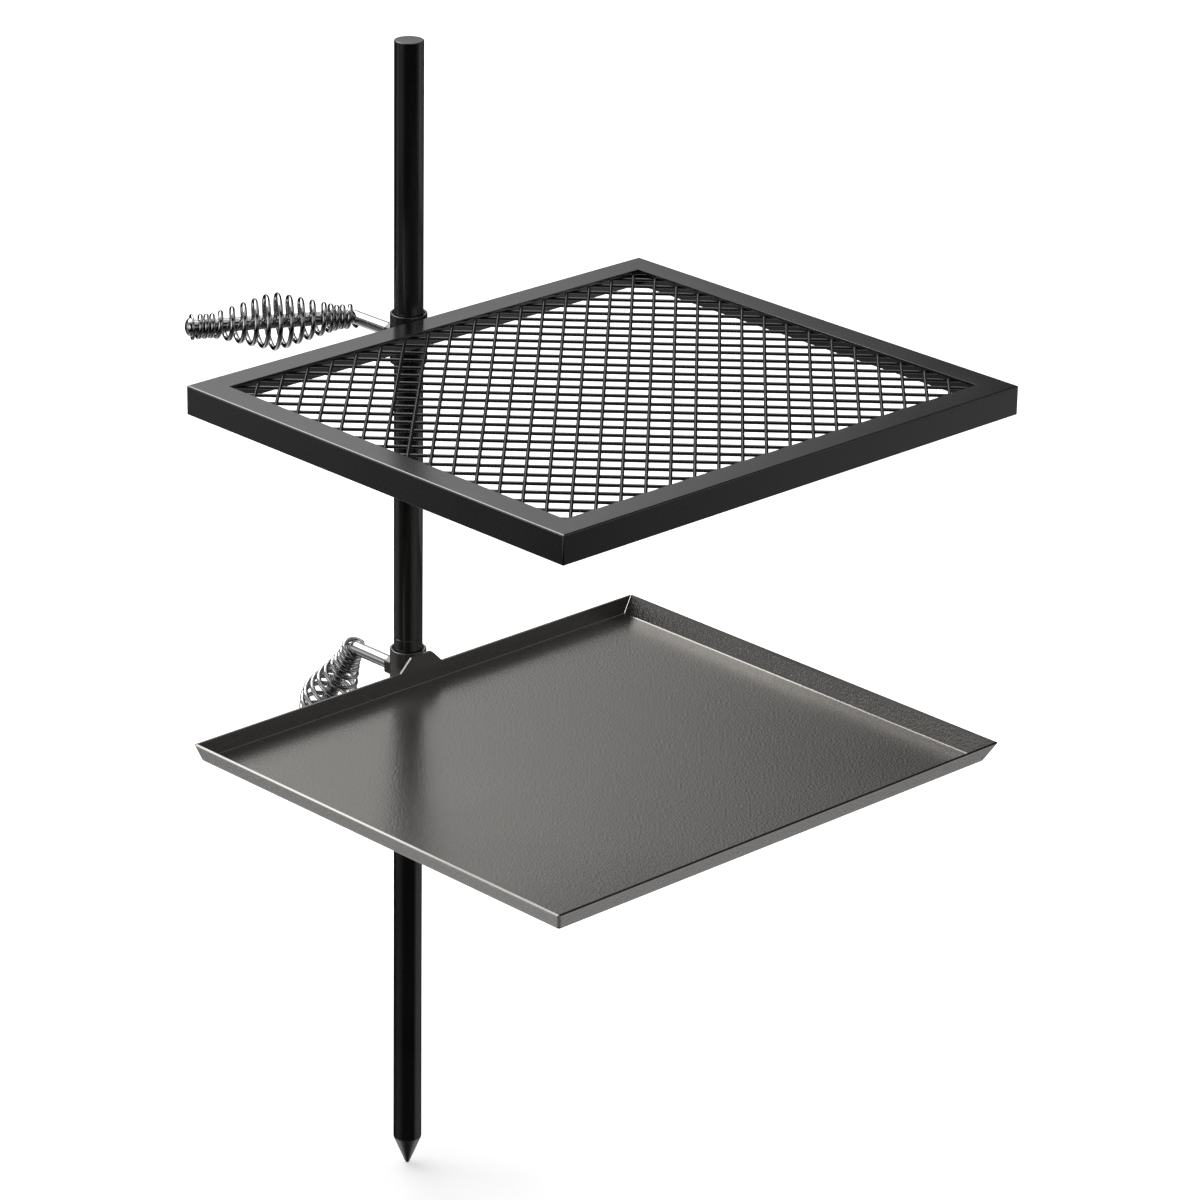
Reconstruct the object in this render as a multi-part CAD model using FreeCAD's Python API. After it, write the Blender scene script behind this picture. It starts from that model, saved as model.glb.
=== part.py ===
import FreeCAD, Part
import math
import os

from FreeCAD import Vector

os.makedirs("parts", exist_ok=True)

# Two-tier swing grill. Sizes in millimetres. The post stands on Z with its point at the origin.
# The plates reach out to -Y and the clamp handles to +Y.

# Post
POST_RADIUS = 10.0
POST_HEIGHT = 834.0
SEAM_HEIGHT = 409.6
POINT_LENGTH = 21.8
POINT_TIP_RADIUS = 1.5
POST_TOP_BEVEL = 0.5
SEAM_BEVEL = 0.3
STUD_RADIUS = 5.0
STUD_LENGTH = 40.0
STUD_THREAD_CLEARANCE = 0.05

# Sleeve collars and the liners that slide in them
COLLAR_RADIUS = 12.7
COLLAR_BORE_RADIUS = 10.9
COLLAR_HEIGHT = 35.0
LINER_BORE_CLEARANCE = 0.06
LINER_OUTER_CLEARANCE = 0.06
LINER_INSET = 1.2
GRATE_COLLAR_BASE = 610.0
TRAY_COLLAR_BASE = 366.2

# Grate frame of angle bar
GRATE_WIDTH = 406.0
GRATE_DEPTH = 355.0
GRATE_TOP = 643.7
ANGLE_LEG = 19.7
ANGLE_WALL = 2.0
ANGLE_EDGE_RADIUS = 0.8

# Grate wires, both layers at 45 degrees to the sides
MESH_WIRE_RADIUS = 0.9
MESH_PITCH = 14.92
MESH_END_INSET = 7.0
UPPER_WIRE_SHIFT = 0.1
LOWER_WIRE_SHIFT = 5.9

# Tray
TRAY_WIDTH = 403.5
TRAY_DEPTH = 354.0
TRAY_RIM_TOP = 390.8
TRAY_HEIGHT = 13.9
TRAY_FLARE = 7.1
TRAY_SHEET = 1.5
TRAY_FOLD_RADIUS = 0.7
TAB_BASE_WIDTH = 38.0
TAB_TOP_WIDTH = 17.7
TAB_TOP = 400.7

# Weld beads
WELD_REACH = 10.5
WELD_CLIMB = 9.0
WELD_ROOT = 2.0
GRATE_WELD_BASE = 625.0
GRATE_WELD_HEIGHT = 17.0
TRAY_WELD_BASE = 380.0
TRAY_WELD_HEIGHT = 18.0

# Clamp nut and screw rod
NUT_ACROSS_FLATS = 14.3
NUT_FACE = 17.5
ROD_RADIUS = 4.75
ROD_THREAD_CLEARANCE = 0.05
ROD_TIP_GAP = 0.05
ROD_TIP_BEVEL = 1.0
ROD_BEND_RADIUS = 6.0
ROD_BEND_ANGLE = 61.0
ROD_REACH = 57.0
GRATE_HANDLE_TURN = 0.0
TRAY_HANDLE_TURN = -88.0
ROD_LEG_LENGTH = 113.1

# Grip cap
CAP_FLANGE_RADIUS = 9.0
CAP_SEAT_DEPTH = 2.7
CAP_FLANGE_WALL = 1.5
CAP_DOME_RADIUS = 6.5
CAP_DOME_HEIGHT = 4.1

# Grip coil, wound left-handed. Its first part turn lifts past the bend of the rod.
COIL_WIRE_RADIUS = 1.75
COIL_END_RADIUS = 6.9
COIL_PEAK_RADIUS = 18.75
COIL_PEAK_AT = 53.7
COIL_PEAK_ROUNDING = 4.0
COIL_TAPER = 0.275
COIL_START = -2.25
COIL_START_ANGLE = -170.0
COIL_LEAD_TURNS = 0.78
COIL_LEAD_PITCH = 8.0
COIL_FIRST_TURNS = 3.58
COIL_CLOSE_PITCH = 4.1
COIL_OPEN_TURNS = 9.59
COIL_OPEN_PITCH = 7.92
COIL_CAP_CLEARANCE = 0.05
COIL_LEAST_GAP = 0.4

# How far a cutting shape runs past the face that it cuts
CUT_OVERLAP = 1.0

# Two places nearer than this are the same place
SAME_PLACE = 0.001

ZAXIS = Vector(0, 0, 1)
YAXIS = Vector(0, 1, 0)


def save(name, shape):
    shape.exportStep("parts/" + name + ".step")
    box = shape.BoundBox
    print(name, "solids", len(shape.Solids), "volume", round(shape.Volume), "valid", shape.isValid(),
          [round(v, 1) for v in (box.XMin, box.YMin, box.ZMin, box.XMax, box.YMax, box.ZMax)])


def rod_between(radius, start, end):
    along = end - start
    return Part.makeCylinder(radius, along.Length, start, along)


def turned(points):
    """Solid of revolution round Z from (radius, height) points."""
    wire = Part.makePolygon([Vector(r, 0, z) for r, z in points + points[:1]])
    return Part.Face(wire).revolve(Vector(0, 0, 0), ZAXIS, 360)


def tube(outer, inner, base, height):
    return Part.makeCylinder(outer, height, Vector(0, 0, base)).cut(
        Part.makeCylinder(inner, height, Vector(0, 0, base)))


def stud_hole(base):
    return Part.makeCylinder(STUD_RADIUS + STUD_THREAD_CLEARANCE, STUD_LENGTH / 2, Vector(0, 0, base))


def lower_stake():
    body = turned([(0, 0), (POINT_TIP_RADIUS * 2 / 3, POINT_TIP_RADIUS / 6),
                   (POINT_TIP_RADIUS, POINT_TIP_RADIUS / 2), (POST_RADIUS, POINT_LENGTH),
                   (POST_RADIUS, SEAM_HEIGHT - SEAM_BEVEL),
                   (POST_RADIUS - SEAM_BEVEL, SEAM_HEIGHT), (0, SEAM_HEIGHT)])
    return body.cut(stud_hole(SEAM_HEIGHT - STUD_LENGTH / 2))


def upper_post():
    body = turned([(0, SEAM_HEIGHT), (POST_RADIUS - SEAM_BEVEL, SEAM_HEIGHT),
                   (POST_RADIUS, SEAM_HEIGHT + SEAM_BEVEL), (POST_RADIUS, POST_HEIGHT - POST_TOP_BEVEL),
                   (POST_RADIUS - POST_TOP_BEVEL, POST_HEIGHT), (0, POST_HEIGHT)])
    return body.cut(stud_hole(SEAM_HEIGHT))


def joining_stud():
    return Part.makeCylinder(STUD_RADIUS, STUD_LENGTH, Vector(0, 0, SEAM_HEIGHT - STUD_LENGTH / 2))


def rod_height(collar_base):
    return collar_base + COLLAR_HEIGHT / 2


def rod_hole(collar_base):
    height = rod_height(collar_base)
    return rod_between(ROD_RADIUS + ROD_THREAD_CLEARANCE, Vector(0, 0, height),
                       Vector(0, NUT_FACE + CUT_OVERLAP, height))


def collar(base):
    return tube(COLLAR_RADIUS, COLLAR_BORE_RADIUS, base, COLLAR_HEIGHT).cut(rod_hole(base))


def liner_radius():
    return COLLAR_BORE_RADIUS - LINER_OUTER_CLEARANCE


def liner(base):
    return tube(liner_radius(), POST_RADIUS + LINER_BORE_CLEARANCE, base + LINER_INSET,
                COLLAR_HEIGHT - 2 * LINER_INSET)


def clamp_nut(collar_base):
    height = rod_height(collar_base)
    corner = NUT_ACROSS_FLATS / math.sqrt(3)
    points = []
    for k in range(7):
        angle = math.radians(60 * k + 30)
        points.append(Vector(corner * math.cos(angle), 0, height + corner * math.sin(angle)))
    block = Part.Face(Part.makePolygon(points)).extrude(YAXIS * NUT_FACE)
    core = Part.makeCylinder(COLLAR_RADIUS, 2 * NUT_ACROSS_FLATS, Vector(0, 0, height - NUT_ACROSS_FLATS))
    return block.cut(core).cut(rod_hole(collar_base))


def angle_rail(length, middle, turn):
    """One mitred angle bar. Unturned, it runs along X with its upright leg on the +Y side of the frame."""
    half = length / 2
    top = Part.makePolygon([Vector(-half, 0, 0), Vector(half, 0, 0), Vector(half - ANGLE_LEG, -ANGLE_LEG, 0),
                            Vector(-half + ANGLE_LEG, -ANGLE_LEG, 0), Vector(-half, 0, 0)])
    side = Part.makePolygon([Vector(-half, 0, 0), Vector(half, 0, 0), Vector(half - ANGLE_WALL, -ANGLE_WALL, 0),
                             Vector(-half + ANGLE_WALL, -ANGLE_WALL, 0), Vector(-half, 0, 0)])
    flange = Part.Face(top).extrude(Vector(0, 0, -ANGLE_WALL))
    upright = Part.Face(side).extrude(Vector(0, 0, -ANGLE_LEG))
    rail = flange.fuse(upright).removeSplitter()
    outer_edge = [edge for edge in edges_at(rail, 0) if edge.BoundBox.YMin > -SAME_PLACE]
    rail = rail.makeFillet(ANGLE_EDGE_RADIUS, outer_edge)
    rail.rotate(Vector(0, 0, 0), ZAXIS, turn)
    rail.translate(middle)
    return rail


def grate_rails():
    back = -COLLAR_RADIUS
    front = back - GRATE_DEPTH
    centre = (back + front) / 2
    half = GRATE_WIDTH / 2
    return {
        "back": angle_rail(GRATE_WIDTH, Vector(0, back, GRATE_TOP), 0),
        "left": angle_rail(GRATE_DEPTH, Vector(-half, centre, GRATE_TOP), 90),
        "front": angle_rail(GRATE_WIDTH, Vector(0, front, GRATE_TOP), 180),
        "right": angle_rail(GRATE_DEPTH, Vector(half, centre, GRATE_TOP), 270),
    }


def clip_line(point, direction, low, high):
    """The stretch of a line inside the rectangle low to high, as two distances along it, or None."""
    near, far = -1e6, 1e6
    for axis in (0, 1):
        a = (low[axis] - point[axis]) / direction[axis]
        b = (high[axis] - point[axis]) / direction[axis]
        near = max(near, min(a, b))
        far = min(far, max(a, b))
    return (near, far) if far - near > MESH_PITCH else None


def wire_layer(sign, shift, height):
    """Straight wires along (1, sign), clipped to the frame, at one height."""
    middle = Vector(0, -COLLAR_RADIUS - GRATE_DEPTH / 2, height)
    reach_x = GRATE_WIDTH / 2 - MESH_END_INSET
    reach_y = GRATE_DEPTH / 2 - MESH_END_INSET
    low = (-reach_x, middle.y - reach_y)
    high = (reach_x, middle.y + reach_y)
    along = Vector(1, sign, 0).normalize()
    across = Vector(-sign, 1, 0).normalize()
    count = int((reach_x + reach_y) / MESH_PITCH) + 1
    wires = []
    for k in range(-count, count + 1):
        point = middle + across * (k * MESH_PITCH - shift)
        span = clip_line(point, along, low, high)
        if span:
            wires.append(rod_between(MESH_WIRE_RADIUS, point + along * span[0], point + along * span[1]))
    return Part.makeCompound(wires)


def frustum(low, high):
    """Solid between two rectangles, each given as (half width, back, front, height)."""
    rings = []
    for half, back, front, height in (low, high):
        rings.append([Vector(-half, back, height), Vector(half, back, height),
                      Vector(half, front, height), Vector(-half, front, height)])
    faces = [ring + ring[:1] for ring in rings]
    for k in range(4):
        after = (k + 1) % 4
        faces.append([rings[0][k], rings[0][after], rings[1][after], rings[1][k], rings[0][k]])
    shell = Part.makeShell([Part.Face(Part.makePolygon(points)) for points in faces])
    solid = Part.makeSolid(shell)
    if solid.Volume < 0:
        solid.reverse()
    return solid


def tray_pan():
    back = -COLLAR_RADIUS
    front = back - TRAY_DEPTH
    half = TRAY_WIDTH / 2
    base = TRAY_RIM_TOP - TRAY_HEIGHT
    slope = TRAY_FLARE / TRAY_HEIGHT
    wall = TRAY_SHEET * math.sqrt(1 + slope * slope)
    outer = frustum((half - TRAY_FLARE, back, front + TRAY_FLARE, base), (half, back, front, TRAY_RIM_TOP))
    outer = outer.makeFillet(TRAY_FOLD_RADIUS + TRAY_SHEET, edges_at(outer, base))
    floor = base + TRAY_SHEET

    def inside(height):
        lean = slope * (TRAY_RIM_TOP - height) + wall
        return (half - lean, back - TRAY_SHEET, front + lean, height)

    inner = frustum(inside(floor), inside(TRAY_RIM_TOP + CUT_OVERLAP))
    inner = inner.makeFillet(TRAY_FOLD_RADIUS, edges_at(inner, floor))
    return outer.cut(inner).fuse(tray_tab(back)).removeSplitter()


def tray_tab(back):
    """The raised tab on the back wall, with its foot run down into the wall."""
    foot = TRAY_RIM_TOP - TRAY_HEIGHT / 4
    corners = [(-TAB_BASE_WIDTH / 2, foot), (TAB_BASE_WIDTH / 2, foot), (TAB_BASE_WIDTH / 2, TRAY_RIM_TOP),
               (TAB_TOP_WIDTH / 2, TAB_TOP), (-TAB_TOP_WIDTH / 2, TAB_TOP), (-TAB_BASE_WIDTH / 2, TRAY_RIM_TOP)]
    outline = Part.makePolygon([Vector(x, back, z) for x, z in corners + corners[:1]])
    return Part.Face(outline).extrude(Vector(0, -TRAY_SHEET, 0))


def edges_at(shape, height):
    """The edges that lie flat at one height."""
    found = []
    for edge in shape.Edges:
        if abs(edge.BoundBox.ZMin - height) < SAME_PLACE and abs(edge.BoundBox.ZMax - height) < SAME_PLACE:
            found.append(edge)
    return found


def weld(base, height):
    """A bead on each side of the line where a collar meets the flat face behind it."""
    back = -COLLAR_RADIUS
    core = Part.makeCylinder(COLLAR_RADIUS, height, Vector(0, 0, base))
    climb_y = -math.sqrt(COLLAR_RADIUS ** 2 - WELD_CLIMB ** 2)
    beads = []
    for side in (-1, 1):
        corners = [(WELD_ROOT, back), (WELD_REACH, back), (WELD_CLIMB, climb_y), (WELD_ROOT, climb_y)]
        outline = Part.makePolygon([Vector(side * x, y, base) for x, y in corners + corners[:1]])
        beads.append(Part.Face(outline).extrude(ZAXIS * height).cut(core))
    return Part.makeCompound([bead.Solids[0] for bead in beads])


def grip_direction():
    angle = math.radians(ROD_BEND_ANGLE)
    return Vector(-math.sin(angle), math.cos(angle), 0)


def placed(shape, collar_base, turn):
    """Moves a handle piece from its own frame, screw axis on Y, to a collar."""
    shape.rotate(Vector(0, 0, 0), YAXIS, turn)
    shape.translate(Vector(0, 0, rod_height(collar_base)))
    return shape


def clamp_rod():
    corner = Vector(0, ROD_REACH, 0)
    leg = grip_direction()
    half = math.radians(ROD_BEND_ANGLE) / 2
    setback = ROD_BEND_RADIUS * math.tan(half)
    tip = Vector(0, liner_radius() + ROD_TIP_GAP, 0)
    bend_start = corner - YAXIS * setback
    bend_end = corner + leg * setback
    inward = (leg - YAXIS).normalize()
    bend_middle = corner + inward * (ROD_BEND_RADIUS / math.cos(half) - ROD_BEND_RADIUS)
    end = corner + leg * ROD_LEG_LENGTH
    path = Part.Wire([Part.LineSegment(tip, bend_start).toShape(),
                      Part.Arc(bend_start, bend_middle, bend_end).toShape(),
                      Part.LineSegment(bend_end, end).toShape()])
    profile = Part.Wire([Part.Circle(tip, YAXIS, ROD_RADIUS).toShape()])
    rod = path.makePipeShell([profile], True, False)
    rod = rod.Solids[0] if rod.Solids else Part.Solid(rod)
    blunt = [e for e in rod.Edges if abs(e.BoundBox.YMax - tip.y) < SAME_PLACE]
    return rod.makeChamfer(ROD_TIP_BEVEL, blunt)


def cap_flange_start():
    """Distance along the leg from the bend's corner to the cap."""
    return ROD_LEG_LENGTH - CAP_SEAT_DEPTH


def grip_cap():
    leg = grip_direction()
    corner = Vector(0, ROD_REACH, 0)
    flange_start = cap_flange_start()
    flange_end = flange_start + CAP_FLANGE_WALL
    ball = (CAP_DOME_RADIUS ** 2 + CAP_DOME_HEIGHT ** 2) / (2 * CAP_DOME_HEIGHT)
    crown = flange_end + CAP_DOME_HEIGHT
    flange = rod_between(CAP_FLANGE_RADIUS, corner + leg * flange_start, corner + leg * flange_end)
    sphere = Part.makeSphere(ball, corner + leg * (crown - ball))
    keep = rod_between(CAP_DOME_RADIUS + CUT_OVERLAP, corner + leg * flange_end,
                       corner + leg * (crown + CUT_OVERLAP))
    hole = rod_between(ROD_RADIUS, corner, corner + leg * ROD_LEG_LENGTH)
    return flange.fuse(sphere.common(keep)).cut(hole).removeSplitter()


def coil_runs():
    """The stretches of the coil as (turns, pitch). The last one ends against the cap."""
    runs = [(COIL_LEAD_TURNS, COIL_LEAD_PITCH), (COIL_FIRST_TURNS, COIL_CLOSE_PITCH),
            (COIL_OPEN_TURNS, COIL_OPEN_PITCH)]
    reached = COIL_START + sum(turns * pitch for turns, pitch in runs)
    end = cap_flange_start() - COIL_CAP_CLEARANCE - COIL_WIRE_RADIUS
    runs.append(((end - reached) / COIL_CLOSE_PITCH, COIL_CLOSE_PITCH))
    return runs


COIL_TURNS = sum(turns for turns, pitch in coil_runs())


def coil_height(turn):
    """Distance along the leg at a number of turns from the start of the wire."""
    height = COIL_START
    for turns, pitch in coil_runs():
        part = min(max(turn, 0), turns)
        height += part * pitch
        turn -= turns
    return height


def coil_radius(height):
    away = abs(height - COIL_PEAK_AT)
    if away < COIL_PEAK_ROUNDING:
        away = (away * away / COIL_PEAK_ROUNDING + COIL_PEAK_ROUNDING) / 2
    return max(COIL_END_RADIUS, COIL_PEAK_RADIUS - COIL_TAPER * away)


def coil_point(turn):
    """Centre of the wire at a number of turns from its start, with the coil's axis along +Z."""
    height = coil_height(turn)
    radius = coil_radius(height)
    angle = math.radians(COIL_START_ANGLE - 360 * turn)
    return Vector(radius * math.cos(angle), radius * math.sin(angle), height)


def coil_tangent(turn):
    step = 0.05
    after = coil_point(min(turn + step, COIL_TURNS))
    before = coil_point(max(turn - step, 0))
    return (after - before).normalize()


def arc_middle(start, direction, end):
    """Middle of the arc that leaves start along direction and reaches end."""
    chord = end - start
    unit = Vector(chord).normalize()
    lean = direction - unit * direction.dot(unit)
    bow = math.acos(max(-1.0, min(1.0, direction.dot(unit)))) / 2
    return start + chord * 0.5 + lean.normalize() * (chord.Length / 2 * math.tan(bow))


def biarc(start, leave, end, arrive):
    """Two arcs that join start to end smoothly."""
    gap = end - start
    along = gap.dot(leave + arrive)
    spread = 2 * (1 - leave.dot(arrive))
    reach = (math.sqrt(along * along + spread * gap.dot(gap)) - along) / spread
    meet = (start + end + (leave - arrive) * reach) * 0.5
    first = Part.Arc(start, arc_middle(start, leave, meet), meet)
    second = Part.Arc(meet, arc_middle(end, arrive * -1, meet), end)
    return [first.toShape(), second.toShape()]


def coil():
    steps = int(round(COIL_TURNS * 4))
    edges = []
    for k in range(steps):
        a = COIL_TURNS * k / steps
        b = COIL_TURNS * (k + 1) / steps
        edges += biarc(coil_point(a), coil_tangent(a), coil_point(b), coil_tangent(b))
    path = Part.Wire(edges)
    profile = Part.Wire([Part.Circle(coil_point(0), coil_tangent(0), COIL_WIRE_RADIUS).toShape()])
    shell = path.makePipeShell([profile], True, False)
    return shell.Solids[0] if shell.Solids else Part.Solid(shell)


def coil_gap():
    """Least gap of the coil to itself, between points half a turn or more apart."""
    per_turn = 48
    points = [coil_point(k / per_turn) for k in range(int(COIL_TURNS * per_turn) + 1)]
    least = 1e9
    for i in range(len(points)):
        for j in range(i + per_turn // 2, min(len(points), i + 2 * per_turn)):
            least = min(least, (points[i] - points[j]).Length)
    return least - 2 * COIL_WIRE_RADIUS


def coil_on_leg(shape):
    """Moves a coil from its own frame, axis on Z, to the bent leg of a clamp rod."""
    leg = grip_direction()
    across = leg.cross(ZAXIS)
    shape.Placement = FreeCAD.Placement(FreeCAD.Matrix(
        ZAXIS.x, across.x, leg.x, 0,
        ZAXIS.y, across.y, leg.y, ROD_REACH,
        ZAXIS.z, across.z, leg.z, 0))
    return shape


save("lower_stake", lower_stake())
save("upper_post", upper_post())
save("joining_stud", joining_stud())

for tier, base, turn in (("grate", GRATE_COLLAR_BASE, GRATE_HANDLE_TURN),
                         ("tray", TRAY_COLLAR_BASE, TRAY_HANDLE_TURN)):
    save(tier + "_liner", liner(base))
    save(tier + "_collar", collar(base))
    save(tier + "_clamp_nut", clamp_nut(base))
    save(tier + "_clamp_rod", placed(clamp_rod(), base, turn))
    save(tier + "_grip_cap", placed(grip_cap(), base, turn))
    save(tier + "_grip_coil", placed(coil_on_leg(coil()), base, turn))

for name, rail in grate_rails().items():
    save("grate_rail_" + name, rail)

wire_top = GRATE_TOP - ANGLE_WALL - MESH_WIRE_RADIUS
save("grate_wires_upper", wire_layer(1, -UPPER_WIRE_SHIFT, wire_top))
save("grate_wires_lower", wire_layer(-1, LOWER_WIRE_SHIFT, wire_top - 2 * MESH_WIRE_RADIUS))
save("grate_weld", weld(GRATE_WELD_BASE, GRATE_WELD_HEIGHT))

save("tray_pan", tray_pan())
save("tray_weld", weld(TRAY_WELD_BASE, TRAY_WELD_HEIGHT))

print("coil least gap", round(coil_gap(), 3), "wanted over", COIL_LEAST_GAP)
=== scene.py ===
# %% [markdown]
# # A two-tier swing grill
# The grill is a steel post that is driven into the ground beside a fire. A wire grate and a folded tray
# hang on it by sleeve collars, and each collar has a bent clamp handle with a wire coil as its grip.
#
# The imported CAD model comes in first. It is the frame that every piece below is fitted to, so the main
# sizes are read from it, in millimetres, and only those that a box can't tell are written out.

# %% The frame
import math

import bmesh
import bpy
from mathutils import Matrix, Vector


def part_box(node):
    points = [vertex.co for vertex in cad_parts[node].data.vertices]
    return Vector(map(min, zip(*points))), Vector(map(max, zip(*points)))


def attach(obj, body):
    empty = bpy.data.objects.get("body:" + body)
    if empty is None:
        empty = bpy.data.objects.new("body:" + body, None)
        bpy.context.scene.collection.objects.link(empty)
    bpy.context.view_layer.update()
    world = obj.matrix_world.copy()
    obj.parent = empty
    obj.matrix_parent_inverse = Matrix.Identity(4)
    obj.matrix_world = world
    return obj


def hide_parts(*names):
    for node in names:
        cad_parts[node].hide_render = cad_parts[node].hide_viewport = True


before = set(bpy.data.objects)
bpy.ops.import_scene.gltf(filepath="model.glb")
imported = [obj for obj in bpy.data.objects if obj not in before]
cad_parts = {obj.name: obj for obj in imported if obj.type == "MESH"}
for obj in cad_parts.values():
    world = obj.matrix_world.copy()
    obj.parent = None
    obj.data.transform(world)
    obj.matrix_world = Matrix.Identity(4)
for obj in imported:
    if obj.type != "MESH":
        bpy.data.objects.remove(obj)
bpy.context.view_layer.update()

MM = 0.001


def frame_box(name):
    """The lowest and the highest corner of a CAD node, in millimetres."""
    return [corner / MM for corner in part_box(name)]


# %% [markdown]
# ## The camera
# The photograph was taken from the front left, a little above the grate, with a long lens. A camera could
# be placed by an angle and a distance. Here its own axes are written out as the columns of its matrix,
# because that also holds the slight roll of the picture. Blender's camera looks along its own -Z, so the
# third column points back, away from the grill.

# %% Camera
CAMERA_PLACE = Vector((-2.12371, -2.38796, 1.72834))
CAMERA_RIGHT = Vector((0.72354, -0.69010, 0.01586))
CAMERA_UP = Vector((0.24785, 0.28116, 0.92710))
CAMERA_BACK = CAMERA_RIGHT.cross(CAMERA_UP)

lens = bpy.data.cameras.new("camera")
lens.sensor_width = 36.0
lens.lens = 150.3
camera = bpy.data.objects.new("camera", lens)
camera_axes = Matrix((CAMERA_RIGHT, CAMERA_UP, CAMERA_BACK)).transposed()
camera.matrix_world = Matrix.Translation(CAMERA_PLACE) @ camera_axes.to_4x4()
bpy.context.collection.objects.link(camera)
bpy.context.scene.camera = camera
print("camera distance in m:", round(CAMERA_PLACE.length, 2))

# %% [markdown]
# ## Building a shader in a few lines
# A shader is a small graph of nodes. It could be put together by hand in the editor, but a script can be
# read and run again. These helpers add nodes and fill their inputs, with a plain value or with a link from
# another node, so that each finish below reads like a recipe.

# %% Node helpers
def fill(tree, socket, value):
    """Gives a socket a plain value, or a link from another node's output."""
    if isinstance(value, bpy.types.NodeSocket):
        tree.links.new(value, socket)
    else:
        socket.default_value = value


def node(tree, kind, **inputs):
    """Adds a shader node. Each keyword is an input, with _ for a space."""
    made = tree.nodes.new("ShaderNode" + kind)
    for name, value in inputs.items():
        fill(tree, made.inputs[name.replace("_", " ")], value)
    return made


def ranged(tree, value, low, high, start=0.0, end=1.0):
    """Goes from low to high while a value goes from start to end."""
    made = node(tree, "MapRange", Value=value, From_Min=start, From_Max=end, To_Min=low, To_Max=high)
    return made.outputs["Result"]


def tinted(tree, mask, dark, light):
    """A colour that goes from dark to light with a mask."""
    made = tree.nodes.new("ShaderNodeMix")
    made.data_type = "RGBA"
    fill(tree, made.inputs["Factor"], mask)
    fill(tree, made.inputs["A"], (*dark, 1.0))
    fill(tree, made.inputs["B"], (*light, 1.0))
    return made.outputs["Result"]


def combined(tree, operation, first, *others):
    """Joins values by Math nodes of one operation, one after another."""
    for other in others:
        made = tree.nodes.new("ShaderNodeMath")
        made.operation = operation
        fill(tree, made.inputs[0], first)
        fill(tree, made.inputs[1], other)
        first = made.outputs["Value"]
    return first


def vector_math(tree, operation, *values):
    """Adds a Vector Math node and returns its outputs."""
    made = tree.nodes.new("ShaderNodeVectorMath")
    made.operation = operation
    for socket, value in zip(made.inputs, values):
        fill(tree, socket, value)
    return made.outputs


def object_place(tree):
    """The place on a piece, in the piece's own coordinates."""
    return tree.nodes.new("ShaderNodeTexCoord").outputs["Object"]


# %% [markdown]
# ## Coat grain
# Baked powder coat is never quite flat. It dries to a skin like orange peel, about a millimetre from bump
# to bump, and its gloss drifts slowly over a few centimetres. Every finish here has both, so they are one
# node group with its own scales, instead of the same noise built again in each material. The peel can also
# be squeezed or drawn out along one slanting line, as rolling does to sheet and tube. The group reads
# Object coordinates, which stay put when a joint moves the piece.

# %% Coat grain group
PEEL_SLANT = math.radians(-46)

coat_grain = bpy.data.node_groups.new("coat_grain", "ShaderNodeTree")
for label in ("Peel Scale", "Drift Scale", "Drawn"):
    coat_grain.interface.new_socket(label, in_out="INPUT", socket_type="NodeSocketFloat")
for label in ("Peel", "Drift"):
    coat_grain.interface.new_socket(label, in_out="OUTPUT", socket_type="NodeSocketFloat")

given = coat_grain.nodes.new("NodeGroupInput").outputs
put_out = coat_grain.nodes.new("NodeGroupOutput").inputs
place = object_place(coat_grain)
slanted = node(coat_grain, "VectorRotate", Vector=place, Angle=PEEL_SLANT)
slanted.rotation_type = "Z_AXIS"
squeeze = node(coat_grain, "CombineXYZ", X=given["Drawn"], Y=1.0, Z=1.0)
squeezed = vector_math(coat_grain, "MULTIPLY", slanted.outputs["Vector"], squeeze.outputs["Vector"])
peel = node(coat_grain, "TexNoise", Vector=squeezed["Vector"], Scale=given["Peel Scale"], Detail=2.0,
            Roughness=0.55)
drift = node(coat_grain, "TexNoise", Vector=place, Scale=given["Drift Scale"], Detail=3.0)
fill(coat_grain, put_out["Peel"], peel.outputs["Fac"])
fill(coat_grain, put_out["Drift"], drift.outputs["Fac"])
print("coat_grain group:", len(coat_grain.nodes), "nodes")

# %% [markdown]
# ## A finish and its starting point
# All five finishes start the same way: a Principled shader, the coat grain, a colour and a roughness that
# drift between two values, and a bump made from the peel. They could be five separate graphs, but one
# function keeps each to a short list of values. Only what changes over the surface is linked. A number that
# is the same all over goes on the shader's own socket.

# %% Finish helper
MOST_DRIFT = (0.3, 0.7)


def finish(name, slot_name, colours, gloss, peel_scale, drift_scale, bump, depth, drawn=1.0, **plain):
    """Makes a material. Its bump's depth is in millimetres, and plain values go on the shader."""
    material = bpy.data.materials.new(name)
    material.use_nodes = True
    tree = material.node_tree
    shader = tree.nodes["Principled BSDF"]
    grain = tree.nodes.new("ShaderNodeGroup")
    grain.name = "grain"
    grain.node_tree = coat_grain
    for label, value in (("Peel Scale", peel_scale), ("Drift Scale", drift_scale), ("Drawn", drawn)):
        grain.inputs[label].default_value = value
    ripple = node(tree, "Bump", Height=grain.outputs["Peel"], Strength=bump, Distance=depth * MM)
    fill(tree, shader.inputs["Normal"], ripple.outputs["Normal"])
    fill(tree, shader.inputs["Base Color"], tinted(tree, grain.outputs["Drift"], *colours))
    fill(tree, shader.inputs["Roughness"], ranged(tree, grain.outputs["Drift"], *gloss, *MOST_DRIFT))
    for label, value in plain.items():
        shader.inputs[label.replace("_", " ")].default_value = value
    print(name, "for slot", slot_name, "with", len(tree.nodes), "nodes")
    return material


# %% [markdown]
# ## Black coat
# The post and the grate have a satin black powder coat. The colour itself is almost pure black, and what
# the eye sees of it is the studio reflected in the skin of the coat. A grey colour would look flat, so a
# high IOR makes the skin reflect more instead. Its roughness drifts a little, as sprayed coats do.

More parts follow.
